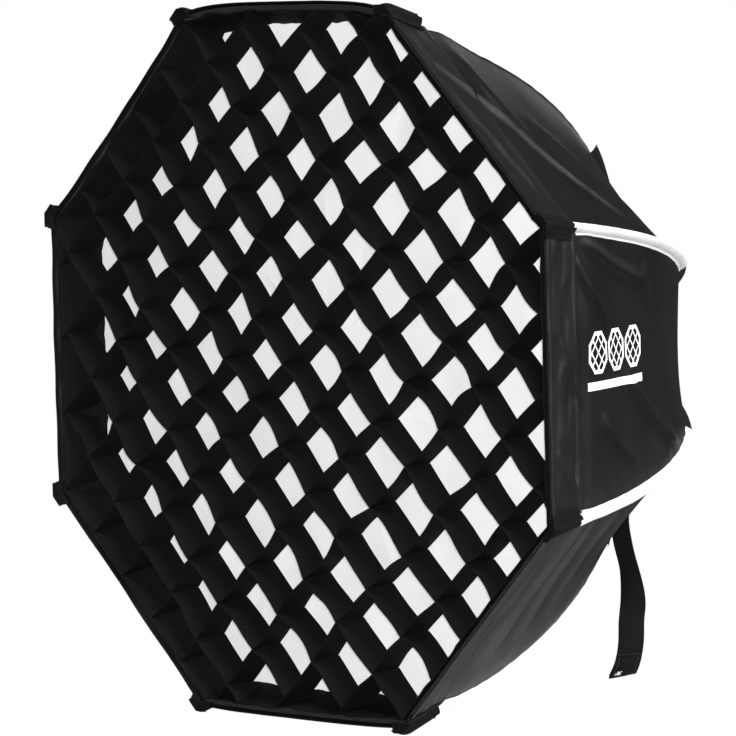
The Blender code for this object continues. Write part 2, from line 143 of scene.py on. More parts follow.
# The strap: its middle line as x and z from its sewn end down, all at one depth
STRAP_ROUTE = [(0.054, -0.112), (0.049, -0.130), (0.046, -0.148), (0.049, -0.167), (0.056, -0.190),
               (0.059, -0.212), (0.057, -0.230), (0.056, -0.247), (0.052, -0.263), (0.044, -0.277)]
STRAP_Y = FRONT_Y + 0.324
STRAP_LENGTH = sum((Vector(b) - Vector(a)).length for a, b in zip(STRAP_ROUTE, STRAP_ROUTE[1:]))
STRAP_WIDTH = 0.021
STRAP_FOLD = 0.024  # length of the end that is folded back and sewn down
STRAP_SLANT = 0.020  # how far its end is cut aslant, as a share of its length

# The camera, and the floor below the box, which hangs on its lamp
VIEW_TARGET = Vector((0.088, FRONT_Y - 0.003, 0.0015))
VIEW_AZIMUTH = -45.04
VIEW_ELEVATION = 4.15
VIEW_ROLL = -1.50
VIEW_DISTANCE = 4.15
VIEW_LENS = 264.9
FLOOR_DROP = 1.0
FLOOR_RADIUS = 1.4


# ---- geometry of the shell ----
def rib_table():
    """Radius, depth and slope of the rib line at even steps from the rim."""
    rows = []
    radius = RIM_RADIUS
    depth = 0.0
    for i in range(RIB_STEPS + 1):
        slope = FRONT_SLOPE + (HUB_SLOPE - FRONT_SLOPE) * (i * RIB_STEP / RIB_LENGTH) ** RIB_BOW
        rows.append((radius, depth, slope))
        radius -= sin(slope) * RIB_STEP
        depth += cos(slope) * RIB_STEP
    return rows


RIB_ROWS = rib_table()


def profile(s):
    """Radius, depth and slope of the rib line; ahead of the rim the line goes on straight."""
    if s < 0:
        return RIM_RADIUS - s * sin(FRONT_SLOPE), s * cos(FRONT_SLOPE), FRONT_SLOPE
    place = min(s / RIB_STEP, len(RIB_ROWS) - 1.001)
    i = int(place)
    return tuple(lerp(a, b, place - i) for a, b in zip(RIB_ROWS[i], RIB_ROWS[i + 1]))


def half_width_at(s):
    """Half a panel's width between its two ribs."""
    return profile(s)[0] * sin(HALF_SIDE)


def lerp(low, high, t):
    return low + (high - low) * t


def smooth(low, high, x):
    """0 below low, 1 above high, and an S curve between."""
    t = min(max((x - low) / (high - low), 0.0), 1.0)
    return t * t * (3 - 2 * t)


def around(angle, radius, depth, side):
    """The point at a radius and a depth, moved sideways across the radius."""
    return Vector((radius * cos(angle) - side * sin(angle), FRONT_Y + depth,
                   radius * sin(angle) + side * cos(angle)))


def band_apothem(depth, outward):
    """Axis to the flat of an eight-sided band on the front slope, moved outwards by outward."""
    corner = RIM_RADIUS - depth * tan(FRONT_SLOPE)
    return (corner + outward / cos(HALF_SIDE) / cos(FRONT_SLOPE)) * cos(HALF_SIDE)


def droop(angle, s):
    """How far the cloth stands out as the shell hangs a little behind its rim."""
    return -DROOP * sin(angle) * smooth(LIP_LENGTH, 0.12, s) * smooth(0.385, 0.28, s)


def rim_bulge(panel, share, s):
    """How far the rim stands out of the octagon; share is -1 to 1 along the panel's width."""
    return RIM_BULGE[panel] * (1 - share ** 4) * smooth(0.15, 0.04, s)


class Half:
    """Half of a panel, from its middle line to one of its two ribs."""

    def __init__(self, panel, side):
        self.panel = panel
        self.side = side
        self.angle = 2 * HALF_SIDE * panel
        self.rib_angle = self.angle + side * HALF_SIDE
        self.rib = (panel if side > 0 else panel - 1) % CORNERS + 1
        self.tag = f"{panel + 1}_by_rib_{self.rib}"

    def panel_point(self, s, side, outward):
        """On the panel, side metres from its middle line towards this half's rib."""
        radius, depth, slope = profile(s)
        slope = atan(tan(slope) * cos(HALF_SIDE))
        apothem = radius * cos(HALF_SIDE) + outward * cos(slope)
        return around(self.angle, apothem, depth + outward * sin(slope), self.side * side)

    def rib_point(self, s, outward, side):
        """Beside the rib line, side metres from the rib's plane towards the panel's middle."""
        radius, depth, slope = profile(s)
        return around(self.rib_angle, radius + outward * cos(slope), depth + outward * sin(slope),
                      -self.side * side)

    def band_point(self, apothem, depth, u):
        """On a band that runs round the octagon; u is 0 at the panel's middle and 1 at its rib."""
        return around(self.angle, apothem, depth, self.side * u * apothem * tan(HALF_SIDE))

    def bend(self, piece):
        """Bake the piece's transform into its mesh; the piece is not bent, and start and end are not used."""
        start = around(self.angle, 0.27, 0, 0)
        end = around(self.angle, 0.27, 0, self.side * RIM_RADIUS * sin(HALF_SIDE))
        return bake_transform(piece)


HALVES = [Half(panel, side) for panel in range(CORNERS) for side in (-1, 1)]


# ---- builders ----
def from_net(name, net, finish, thickness=0.0, offset=-1.0):
    """An object from a bmesh, with its material and, for an open sheet, its thickness."""
    data = bpy.data.meshes.new(name)
    net.to_mesh(data)
    net.free()
    data.materials.append(finish.material)
    piece = bpy.data.objects.new(name, data)
    bpy.context.scene.collection.objects.link(piece)
    if thickness:
        layer = piece.modifiers.new("thickness", 'SOLIDIFY')
        layer.thickness = thickness
        layer.offset = offset
        layer.use_even_offset = False
    return piece


def laid(place, flat, columns, rows, towards, keep=None, closed=False):
    """A bmesh sheet: place(u, v) is its shape and flat(u, v) its UV in metres.

    columns and rows are the u and v values of its lines, towards(centre) the way its outer face looks,
    and keep(i, j) says whether the cell after column i and row j exists.
    """
    net = bmesh.new()
    uv = net.loops.layers.uv.new("cloth")
    lines = [[net.verts.new(place(u, v)) for u in columns] for v in rows]
    for j in range(len(rows) - 1):
        for i in range(len(columns) - 1):
            if keep and not keep(i, j):
                continue
            corners = ((i, j), (i + 1, j), (i + 1, j + 1), (i, j + 1))
            face = net.faces.new([lines[b][a] for a, b in corners])
            face.smooth = True
            for loop, (a, b) in zip(face.loops, corners):
                loop[uv].uv = flat(columns[a], rows[b])
    bmesh.ops.delete(net, geom=[v for v in net.verts if not v.link_faces], context='VERTS')
    if closed:
        bmesh.ops.remove_doubles(net, verts=net.verts, dist=0.00002)
    for edge in net.edges:
        edge.smooth = not edge.is_boundary
    net.normal_update()
    if sum(f.normal.dot(towards(f.calc_center_median())) * f.calc_area() for f in net.faces) < 0:
        bmesh.ops.reverse_faces(net, faces=net.faces)
    return net


def steps(count, low=0.0, high=1.0):
    return [lerp(low, high, i / count) for i in range(count + 1)]


def from_axis(centre):
    """Away from the lamp axis, as the outside of the shell looks."""
    return Vector((centre.x, 0.0, centre.z))


def to_front(centre):
    return Vector((0, -1, 0))


def rough(x, y, z=0.0, scale=1.0):
    """Smooth noise from -1 to 1."""
    return noise.noise(Vector((x * scale, y * scale, z)))


# ---- materials ----
class Finish:
    """One node material, with short ways to add its nodes."""

    def __init__(self, name, color, roughness, metallic=0.0, **sockets):
        self.material = bpy.data.materials.new(name)
        self.material.use_nodes = True
        self.tree = self.material.node_tree
        self.shader = self.tree.nodes["Principled BSDF"]
        self.shader.inputs["Base Color"].default_value = (*color, 1)
        self.shader.inputs["Roughness"].default_value = roughness
        self.shader.inputs["Metallic"].default_value = metallic
        for socket, value in sockets.items():
            self.shader.inputs[socket.replace("_", " ").title().replace("Ior", "IOR")].default_value = value
        self.color = color
        self.roughness = roughness

    def add(self, kind, inputs=(), **settings):
        """A node, with its inputs linked or set in order or by name."""
        made = self.tree.nodes.new("ShaderNode" + kind)
        for key, value in settings.items():
            setattr(made, key, value)
        pairs = inputs.items() if isinstance(inputs, dict) else enumerate(inputs)
        for key, value in pairs:
            if isinstance(value, bpy.types.NodeSocket):
                self.tree.links.new(value, made.inputs[key])
            else:
                made.inputs[key].default_value = value
        return made

    def math(self, operation, *values):
        return self.add("Math", values, operation=operation).outputs[0]

    def cloth_axes(self):
        """Distance across and along the cloth, in metres, from its UV map."""
        split = self.add("SeparateXYZ", [self.add("UVMap", uv_map="cloth").outputs[0]])
        return split.outputs[0], split.outputs[1]

    def place(self):
        return self.add("TexCoord").outputs["Object"]

    def speckle(self, scale, detail=2.0, where=None):
        settings = {"Vector": where or self.place(), "Scale": scale, "Detail": detail}
        return self.add("TexNoise", settings).outputs[0]

    def between(self, value, low, high):
        """1 where value lies between low and high."""
        above = self.math('GREATER_THAN', value, low)
        return self.math('MULTIPLY', above, self.math('LESS_THAN', value, high))

    def near(self, value, middle, reach):
        """1 where value is within reach of middle."""
        off = self.math('ABSOLUTE', self.math('SUBTRACT', value, middle))
        return self.math('LESS_THAN', off, reach)

    def either(self, *masks):
        total = masks[0]
        for mask in masks[1:]:
            total = self.math('MAXIMUM', total, mask)
        return total

    def tint(self, mask, low, high, color):
        """From a darker to a lighter shade of one colour as mask runs from 0 to 1."""
        ramp = self.add("ValToRGB", [mask])
        ramp.color_ramp.elements[0].color = (*[c * low for c in color], 1)
        ramp.color_ramp.elements[1].color = (*[c * high for c in color], 1)
        ramp.color_ramp.elements[0].position = 0.3
        ramp.color_ramp.elements[1].position = 0.7
        return ramp.outputs[0]

    def mix(self, mask, under, over):
        mixed = self.add("Mix", data_type='RGBA')
        self.tree.links.new(mask, mixed.inputs[0])
        for socket, value in ((mixed.inputs[6], under), (mixed.inputs[7], over)):
            if isinstance(value, bpy.types.NodeSocket):
                self.tree.links.new(value, socket)
            else:
                socket.default_value = (*value, 1)
        return mixed.outputs[2]

    def set_color(self, socket):
        self.tree.links.new(socket, self.shader.inputs["Base Color"])

    def set_roughness(self, mask, spread):
        """Roughness that varies by spread either side of its middle."""
        value = self.add("MapRange", [mask, 0.3, 0.7, self.roughness - spread, self.roughness + spread])
        self.tree.links.new(value.outputs[0], self.shader.inputs["Roughness"])

    def set_bump(self, height, distance, strength=0.6):
        bump = self.add("Bump", {"Height": height, "Distance": distance, "Strength": strength})
        self.tree.links.new(bump.outputs[0], self.shader.inputs["Normal"])

    def weave(self, across, along, pitch):
        """Height of a plain weave: threads that pass over and under each other."""
        turns = 2 * pi / pitch
        warp = self.math('SINE', self.math('MULTIPLY', across, turns))
        weft = self.math('SINE', self.math('MULTIPLY', along, turns))
        return self.math('MULTIPLY_ADD', self.math('MULTIPLY', warp, weft), 0.5, 0.5)

    def stitches(self, across, along, position, width=0.0007):
        """1 on the threads of a line of stitches that runs along the cloth at a place across it."""
        dash = self.math('LESS_THAN', self.math('FRACT', self.math('DIVIDE', along, STITCH)), 0.68)
        return self.math('MULTIPLY', self.near(across, position, width / 2), dash)


def woven(name, color, roughness, pitch, sheen, variation=(0.8, 1.25), rows=(), thread=None, **more):
    """Cloth with a plain weave, uneven colour and lines of stitches at the given places across it."""
    cloth = Finish(name, color, roughness, sheen_weight=sheen, sheen_roughness=0.4, **more)
    across, along = cloth.cloth_axes()
    patches = cloth.speckle(14.0, 3.0)
    grain = cloth.speckle(900.0, 1.0)
    shade = cloth.tint(cloth.math('MULTIPLY_ADD', grain, 0.35, cloth.math('MULTIPLY', patches, 0.65)),
                       variation[0], variation[1], color)
    height = cloth.math('ADD', cloth.weave(across, along, pitch), cloth.math('MULTIPLY', grain, 0.6))
    if rows:
        sewn = cloth.either(*[cloth.stitches(across, along, row) for row in rows])
        shade = cloth.mix(sewn, shade, thread or [c * 2.2 for c in color])
        height = cloth.math('ADD', height, cloth.math('MULTIPLY', sewn, 2.5))
    cloth.set_color(shade)
    cloth.set_roughness(patches, 0.05)
    cloth.set_bump(height, 0.00012)
    return cloth


BLACK = (0.0036, 0.0036, 0.0038)
LIP_BLACK = (0.0056, 0.0056, 0.0059)
GRID_BLACK = (0.0056, 0.0056, 0.0059)
WHITE = (0.88, 0.88, 0.875)
SLEEVE_WHITE = (0.66, 0.66, 0.655)

shell_cloth = woven("shell_cloth", BLACK, 0.39, 0.0007, 0.0, specular_ior_level=0.20)
lip_cloth = woven("lip_cloth", LIP_BLACK, 0.45, 0.0007, 0.0, rows=(0.0055, 0.0428),
                  specular_ior_level=0.16)
grid_cloth = woven("grid_cloth", GRID_BLACK, 0.72, 0.0006, 0.0, specular_ior_level=0.03)
border_cloth = woven("border_cloth", GRID_BLACK, 0.66, 0.0006, 0.0, rows=(0.0035, 0.0365),
                     specular_ior_level=0.03)
pocket_cloth = woven("pocket_cloth", (0.0035, 0.0035, 0.0037), 0.7, 0.0011, 0.01, rows=(0.0084,),
                     specular_ior_level=0.05)
rear_sleeve_cloth = woven("rear_sleeve_cloth", (0.005, 0.005, 0.0053), 0.65, 0.0011, 0.01, rows=(0.0050,),
                          specular_ior_level=0.08)
white_sleeve_cloth = woven("white_sleeve_cloth", SLEEVE_WHITE, 0.8, 0.0009, 0.0, (0.93, 1.03), rows=(0.0044,),
                           thread=(0.42, 0.42, 0.416))
diffuser_cloth = woven("diffuser_cloth", WHITE, 0.8, 0.0007, 0.0, (0.955, 1.03))
hem_tape = woven("hem_tape", (0.009, 0.009, 0.0095), 0.8, 0.0016, 0.02, rows=(0.0015, 0.0115),
                 specular_ior_level=0.2)


def hook_and_loop(name, spikes):
    """Fastening tape: a dense field of loops or hooks."""
    tape = Finish(name, (0.009, 0.009, 0.0095), 0.9, sheen_weight=0.06, specular_ior_level=0.2)
    pile = tape.add("TexVoronoi", {"Vector": tape.place(), "Scale": spikes}).outputs[0]
    tape.set_color(tape.tint(pile, 1.6, 0.6, tape.color))
    tape.set_bump(pile, 0.0008, 1.0)
    return tape


loop_tape = hook_and_loop("loop_tape", 900.0)
hook_tape = hook_and_loop("hook_tape", 650.0)


def make_webbing():
    """Ribbed webbing, with a stitched box where its end is folded back."""
    web = Finish("webbing", (0.0040, 0.0040, 0.0042), 0.66, sheen_weight=0.01, specular_ior_level=0.07)
    across, along = web.cloth_axes()
    ribs = web.math('SINE', web.math('MULTIPLY', along, 2 * pi / 0.0014))
    cords = web.math('SINE', web.math('MULTIPLY', across, 2 * pi / 0.0021))
    edge = web.math('GREATER_THAN', web.math('ABSOLUTE', across), STRAP_WIDTH / 2 - 0.0013)
    fold = STRAP_LENGTH - STRAP_FOLD - 0.002
    sides = web.either(web.stitches(across, along, 0.0075), web.stitches(across, along, -0.0075))
    sides = web.math('MULTIPLY', sides, web.math('GREATER_THAN', along, fold))
    sewn = web.either(web.near(along, fold, 0.0005), web.near(along, 0.006, 0.0005), sides)
    shade = web.tint(web.speckle(30.0), 0.85, 1.2, web.color)
    shade = web.mix(edge, shade, [c * 0.7 for c in web.color])
    web.set_color(web.mix(sewn, shade, (0.022, 0.022, 0.023)))
    height = web.math('MULTIPLY_ADD', ribs, 0.4, web.math('MULTIPLY', cords, 0.25))
    web.set_bump(web.math('ADD', height, sewn), 0.0004)
    return web


def make_printed_cloth():
    """The side panel's cloth with its printed mark: three eight-sided rings with a lattice, over one bar."""
    cloth = woven("printed_shell_cloth", BLACK, 0.39, 0.0007, 0.0, specular_ior_level=0.20)
    across, along = cloth.cloth_axes()
    height = cloth.math('SUBTRACT', across, MARK_HEIGHT)
    length = cloth.math('SUBTRACT', along, MARK_DEPTH)
    inside = cloth.between(length, -1.5 * MARK_PITCH, 1.5 * MARK_PITCH)
    up = cloth.math('ABSOLUTE', height)
    out = cloth.math('PINGPONG', length, MARK_PITCH / 2)
    slant = cloth.math('MULTIPLY', cloth.math('ADD', up, out), sqrt(0.5))
    ring = cloth.math('MAXIMUM', cloth.math('MAXIMUM', up, out), slant)
    outline = cloth.between(ring, MARK_RADIUS - MARK_LINE, MARK_RADIUS)
    rising = cloth.math('PINGPONG', cloth.math('ADD', height, out), MARK_CELL)
    falling = cloth.math('PINGPONG', cloth.math('SUBTRACT', height, out), MARK_CELL)
    lattice = cloth.math('LESS_THAN', cloth.math('MINIMUM', rising, falling), 0.0010)
    lattice = cloth.math('MULTIPLY', lattice, cloth.math('LESS_THAN', ring, MARK_RADIUS))
    shapes = cloth.either(outline, lattice, cloth.between(height, *MARK_BAR))
    plain = cloth.shader.inputs["Base Color"].links[0].from_socket
    ink = cloth.tint(cloth.speckle(700.0), 0.86, 1.0, (0.80, 0.80, 0.79))
    cloth.set_color(cloth.mix(cloth.math('MULTIPLY', shapes, inside), plain, ink))
    return cloth


printed_cloth = make_printed_cloth()


def metal(name, color, roughness, brushed, worn=0.0, metallic=1.0):
    """Metal with fine turning marks, handling marks and, on painted metal, edges worn bare."""
    skin = Finish(name, color, roughness, metallic)
    stretched = skin.add("Mapping", {"Vector": skin.place(), "Scale": (brushed, brushed * 14, brushed)})
    marks = skin.speckle(60.0, 3.0, stretched.outputs[0])
    smears = skin.speckle(35.0, 4.0)
    shade = skin.tint(smears, 0.85, 1.12, color)
    if worn:
        edge = skin.add("NewGeometry").outputs["Pointiness"]
        bare = skin.add("MapRange", [edge, 0.54, 0.62, 0.0, worn]).outputs[0]
        shade = skin.mix(bare, shade, (0.32, 0.32, 0.33))
    skin.set_color(shade)
    skin.set_roughness(smears, 0.08)
    skin.set_bump(marks, 0.00006)
    return skin


bare_metal = metal("machined_aluminium", (0.62, 0.62, 0.63), 0.30, 1.0)
rod_metal = metal("drawn_rod", (0.46, 0.46, 0.47), 0.34, 2.0)
black_metal = metal("black_anodised", (0.028, 0.028, 0.030), 0.42, 1.0, worn=0.7)


def make_plastic():
    """Moulded plastic with a fine spark-eroded grain."""
    skin = Finish("moulded_plastic", (0.018, 0.018, 0.019), 0.48, specular_ior_level=0.5)
    grain = skin.speckle(1800.0, 2.0)
    skin.set_color(skin.tint(skin.speckle(60.0), 0.9, 1.2, skin.color))
    skin.set_roughness(grain, 0.06)
    skin.set_bump(grain, 0.0001)
    return skin


black_plastic = make_plastic()


# ---- the shell's cloth ----
# Tension folds of each panel: where each starts and ends, as the share of the panel's half width
# and the distance s from the rim, then its height and its width.
FOLDS = {
    0: [(0.82, 0.044, 0.36, 0.096, 0.0042, 0.0054), (0.90, 0.062, 0.66, 0.172, 0.0042, 0.0054),
        (-0.10, 0.138, -0.82, 0.242, 0.0048, 0.0060), (-0.36, 0.088, -0.78, 0.150, 0.0028, 0.0055),
        (0.80, 0.175, 0.45, 0.190, 0.0018, 0.0080), (0.28, 0.018, -0.22, 0.052, 0.0018, 0.0030),
        (-0.50, 0.010, -0.82, 0.046, 0.0022, 0.0036)],
    1: [(0.92, 0.002, -0.80, 0.031, 0.0024, 0.0036), (0.55, 0.012, -0.82, 0.198, 0.0038, 0.0048),
        (0.75, 0.070, 0.10, 0.108, 0.0016, 0.0070), (0.30, 0.130, -0.50, 0.250, 0.0020, 0.0120)],
    7: [(0.98, 0.062, -0.60, 0.070, 0.0024, 0.0060), (0.96, 0.080, -0.70, 0.110, 0.0026, 0.0070),
        (0.92, 0.120, -0.55, 0.150, 0.0024, 0.0070), (0.95, 0.170, -0.30, 0.200, 0.0020, 0.0110)],
}


def spare_folds(panel):
    """Four folds, from the corners inwards, for a panel that has no list of its own."""
    draw = random.Random(f"folds {panel}")
    folds = []
    for corner in (-1, 1, -1, 1):
        s = draw.uniform(0.06, 0.14)
        folds.append((corner * draw.uniform(0.8, 0.98), s, corner * draw.uniform(-0.5, 0.3),
                      s + draw.uniform(0.02, 0.10), draw.uniform(0.0014, 0.0026), draw.uniform(0.005, 0.010)))
    return folds


PANEL_FOLDS = [FOLDS.get(panel) or spare_folds(panel) for panel in range(CORNERS)]


def fold_height(panel, side, s, half_width):
    """How far the folds lift the cloth; side is signed, from the panel's middle."""
    height = 0.0
    for side_a, s_a, side_b, s_b, lift, width in PANEL_FOLDS[panel]:
        start = Vector((side_a * half_width, s_a))
        run = Vector((side_b * half_width, s_b)) - start
        here = Vector((side, s)) - start
        share = here.dot(run) / run.length_squared
        beside = (here.x * run.y - here.y * run.x) / run.length
        bow = 0.004 * sin(pi * min(max(share, 0.0), 1.0))
        taper = smooth(-0.15, 0.15, share) * smooth(1.2, 0.75, share) if share < 1.2 else 0.0
        height += lift * taper * exp(-((beside + bow) / width) ** 2)
    return height


def edge_margin(s):
    """Panel edge to the middle of its rib; wider by the hub, where the rib's bracket stands."""
    radius = profile(s)[0]
    return lerp(SEAM_EDGE, 0.010, min(max((0.104 - radius) / 0.008, 0.0), 1.0))


def panel_lift(half, side, s):
    """Height of the panel's cloth over the flat between two ribs."""
    half_width = half_width_at(s)
    share = min(side / half_width, 1.0)
    v = (s - LIP_LENGTH) / (GORE_END - LIP_LENGTH)
    signed = half.side * side
    sag = PANEL_SAG * (1 - share * share) * sin(pi * min(max(v, 0.0), 1.0))
    step = lerp(LIP_OFFSET, 0.0, smooth(LIP_LENGTH, LIP_LENGTH + 0.022, s))
    calm = smooth(1.0, 0.86, share)
    folds = fold_height(half.panel, signed, s, half_width) * calm * smooth(GORE_END, GORE_END - 0.05, s)
    drift = 0.0016 * rough(signed, s, half.panel * 3.7, 16.0) * calm
    pucker = 0.0009 * exp(-(half_width - side) / 0.012) * smooth(1.0, 0.93, share)
    pucker *= rough(s, half.panel * 2.0 + half.side, 0.0, 95.0)
    hang = droop(half.angle + half.side * share * HALF_SIDE, s)
    return step - sag + folds + drift + pucker + hang + rim_bulge(half.panel, share, s)


def make_gore(half):
    def place(u, v):
        s = lerp(LIP_LENGTH - 0.003, GORE_END, v)
        width = half_width_at(s) - edge_margin(s)
        return half.panel_point(s, u * width, panel_lift(half, u * width, s))

    def flat(u, v):
        s = lerp(LIP_LENGTH - 0.003, GORE_END, v)
        return half.side * u * half_width_at(s), s

    cloth = printed_cloth if half.panel == 0 else shell_cloth
    net = laid(place, flat, steps(46), steps(124), from_axis)
    return from_net(f"gore_{half.tag}", net, cloth, 0.0006)


def lip_wrinkle(panel, signed, s, half_width):
    """Boxy wrinkles of the front band, which fade out at its corners."""
    calm = smooth(1.0, 0.85, abs(signed) / half_width)
    soft = 0.0011 * rough(signed * 0.45, s * 1.5, 5.0 + panel, 42.0)
    boxy = 0.0007 * tanh(4 * rough(signed * 0.6, s * 1.3, 9.0 + panel, 55.0))
    return (soft + boxy + 0.0010 + fold_height(panel, signed, s, half_width)) * calm


def make_lip(half):
    """The front band: a rolled hem at the rim, wrinkles, and a lapped seam on the panel behind it."""
    def place(u, v):
        s = lerp(0.0, LIP_LENGTH, v)
        depth = s * cos(FRONT_SLOPE)
        half_width = half_width_at(s)
        wrinkle = lip_wrinkle(half.panel, half.side * u * half_width, s, half_width) * smooth(0, 0.012, s)
        hem = 0.0007 * smooth(0.0062, 0.0045, s) - 0.0005 * smooth(0.0028, 0.0, s)
        seam = 0.0013 * smooth(LIP_LENGTH - 0.0060, LIP_LENGTH - 0.0048, s)
        wave = 0.0011 * rough(half.side * u, half.panel * 1.7, 0.0, 3.5)
        wave = wave * smooth(1.0, 0.8, u) * smooth(0.02, 0.0, s)
        outward = LIP_OFFSET + 0.0003 + (wrinkle * smooth(LIP_LENGTH, LIP_LENGTH - 0.008, s)) + hem + seam
        outward += rim_bulge(half.panel, u, s)
        return half.band_point(band_apothem(depth, outward), depth + wave, u)

    def flat(u, v):
        return lerp(0.0, LIP_LENGTH, v), half.side * u * 0.115

    net = laid(place, flat, steps(56), steps(34), from_axis)
    return from_net(f"lip_{half.tag}", net, lip_cloth, 0.0008)


def make_loop_tape(half):
    """Fastening tape on the inside of the front band."""
    def place(u, v):
        depth = lerp(0.004, 0.024, v)
        apothem = band_apothem(depth, LIP_OFFSET - CLOTH_LAYER + rim_bulge(half.panel, u, depth))
        return half.band_point(apothem, depth, u)

    net = laid(place, lambda u, v: (0.020 * v, 0.11 * u), steps(20), steps(4), from_axis)
    return from_net(f"lip_loop_tape_{half.tag}", net, loop_tape, 0.0010)


def tunnel(side, half_width, top, base):
    """Height over the rib line of cloth that domes over the rod and lies flat beside it."""
    ground = -side * tan(HALF_SIDE) + base
    foot = -half_width * tan(HALF_SIDE) + base
    if side >= half_width:
        return ground
    return foot + (top - foot) * sqrt(max(1 - (side / half_width) ** 2, 0.0))


def tunnel_columns(half_width, edge, count=12):
    """Positions across a tunnel, close together at the foot of the dome."""
    dome = [half_width * sin(pi / 2 * i / count) for i in range(count + 1)]
    return dome + [lerp(half_width, edge, t) for t in (0.35, 0.7, 1.0)]


def make_sleeve(half, name, span, top, edge, finish, seed):
    """Half of the sleeve that a rib's rod runs in, over the seam of two panels."""
    def place(side, s):
        ripple = 1 + 0.10 * rough(s, seed + half.rib * 3.1, 0.0, 45.0)
        base = 0.0010 + panel_lift(half, half_width_at(s) - side, s)
        crown = top * ripple + max(droop(half.rib_angle, s), 0.0)
        height = tunnel(side, ROD_SLEEVE, crown, base)
        swell = side * (1 + 0.05 * rough(s, seed, 1.0, 60.0))
        return half.rib_point(s, height, swell)

    rows = steps(round((span[1] - span[0]) / 0.003), *span)
    net = laid(place, lambda side, s: (side, s), tunnel_columns(ROD_SLEEVE, edge), rows, from_axis)
    return from_net(f"{name}_{half.tag}", net, finish, 0.0006)


def make_pocket(half):
    """Half of the black pocket that holds a rib's tip; it is folded over the corner of the rim."""
    front = -0.0035
    back = 0.0405

    def place(side, s):
        ahead = max(s - front, 0.0)
        close = sqrt(max(1 - max(1 - ahead / 0.009, 0.0) ** 2, 0.0))
        crumple = 0.0006 * rough(s, side + half.rib, half.side, 80.0) * smooth(0, 0.01, ahead)
        lip = LIP_OFFSET + 0.0022 + crumple
        width = lerp(0.0060, 0.0050, smooth(front, back, s))
        top = lip + (0.0038 - lip) * close
        height = tunnel(side, width, top, lip)
        return half.rib_point(s, height, side)

    rows = steps(8, front, front + 0.010) + steps(14, front + 0.010, back)[1:]
    net = laid(place, lambda side, s: (side, s), tunnel_columns(0.0055, POCKET_EDGE), rows, from_axis)
    return from_net(f"rib_pocket_{half.tag}", net, pocket_cloth, 0.0009)


def make_pocket_turn(half):
    """The part of the pocket that is turned over the rim and sewn inside the front band."""
    def place(side, v):
        inside = lerp(0.0, 0.016, v)
        depth = -0.0032 + inside
        curl = sqrt(max(1 - (1 - min(inside / 0.004, 1.0)) ** 2, 0.0))
        outward = lerp(0.0022, LIP_OFFSET - 2.2 * CLOTH_LAYER, curl) - side * tan(HALF_SIDE)
        return around(half.rib_angle, profile(0)[0] + outward, depth, -half.side * side)

    net = laid(place, lambda side, v: (side, v * 0.016), steps(8, 0, POCKET_EDGE), steps(10),
               lambda centre: -from_axis(centre))
    return from_net(f"rib_pocket_turn_{half.tag}", net, pocket_cloth, 0.0008, 0.0)


DIFFUSER_EDGE = band_apothem(DIFFUSER_DEPTH + 0.003, LIP_OFFSET - CLOTH_LAYER - 0.0003)


def make_diffuser(half):
    """A sixteenth of the diffuser, from the axis to the edge, pulled flat."""
    def place(u, v):
        apothem = (DIFFUSER_EDGE + rim_bulge(half.panel, u, DIFFUSER_DEPTH)) * v
        side = apothem * tan(HALF_SIDE) * u
        pull = 0.0012 * rough(half.side * side, apothem, half.panel * 2.0, 30.0)
        pull = pull * smooth(1.0, 0.8, v) * smooth(0, 0.3, v)
        calm = smooth(1.0, 0.9, u) * smooth(0.0, 0.1, u)
        return around(half.angle, apothem, DIFFUSER_DEPTH + 0.0004 + pull * calm, half.side * side)

    def flat(u, v):
        return DIFFUSER_EDGE * v, DIFFUSER_EDGE * v * tan(HALF_SIDE) * u * half.side

    net = laid(place, flat, steps(14), steps(34), to_front, closed=True)
    return from_net(f"diffuser_{half.tag}", net, diffuser_cloth, 0.0005)


def make_hem(half):
    """The tape that binds the diffuser's edge behind."""
    def place(u, v):
        apothem = DIFFUSER_EDGE - 0.0130 * v + rim_bulge(half.panel, u, DIFFUSER_DEPTH)
        ripple = 0.0002 * rough(u, half.panel + half.side * 0.3, 0.0, 9.0)
        return half.band_point(apothem, DIFFUSER_DEPTH + 0.0014 + ripple, u)

    net = laid(place, lambda u, v: (0.013 * v, 0.11 * u), steps(20), steps(4), to_front)
    return from_net(f"diffuser_hem_{half.tag}", net, hem_tape, 0.0008)


def finish_piece(piece, node=None):
    """Hide the CAD node that a piece stands for, when one is given."""
    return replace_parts(piece, node) if node else piece


HALF_WIDTH = RIM_RADIUS * sin(HALF_SIDE)

for half in HALVES:
    gore = finish_piece(half.bend(make_gore(half)), f"gore_{half.panel + 1}")
    lip = finish_piece(half.bend(make_lip(half)), "lip_band")
    loops = finish_piece(half.bend(make_loop_tape(half)), "lip_loop_tape")
    white = make_sleeve(half, "rib_sleeve", WHITE_SLEEVE, 0.0048, SLEEVE_EDGE, white_sleeve_cloth, 2.0)
    rear = make_sleeve(half, "rear_sleeve", REAR_SLEEVE, 0.0045, SLEEVE_EDGE + 0.0012, rear_sleeve_cloth, 7.0)
    finish_piece(half.bend(white))
    finish_piece(half.bend(rear))
    pocket = finish_piece(half.bend(make_pocket(half)))
    turn = finish_piece(half.bend(make_pocket_turn(half)))
    diffuser = finish_piece(half.bend(make_diffuser(half)), "diffuser_sheet")
    hem = finish_piece(half.bend(make_hem(half)), "diffuser_hem")


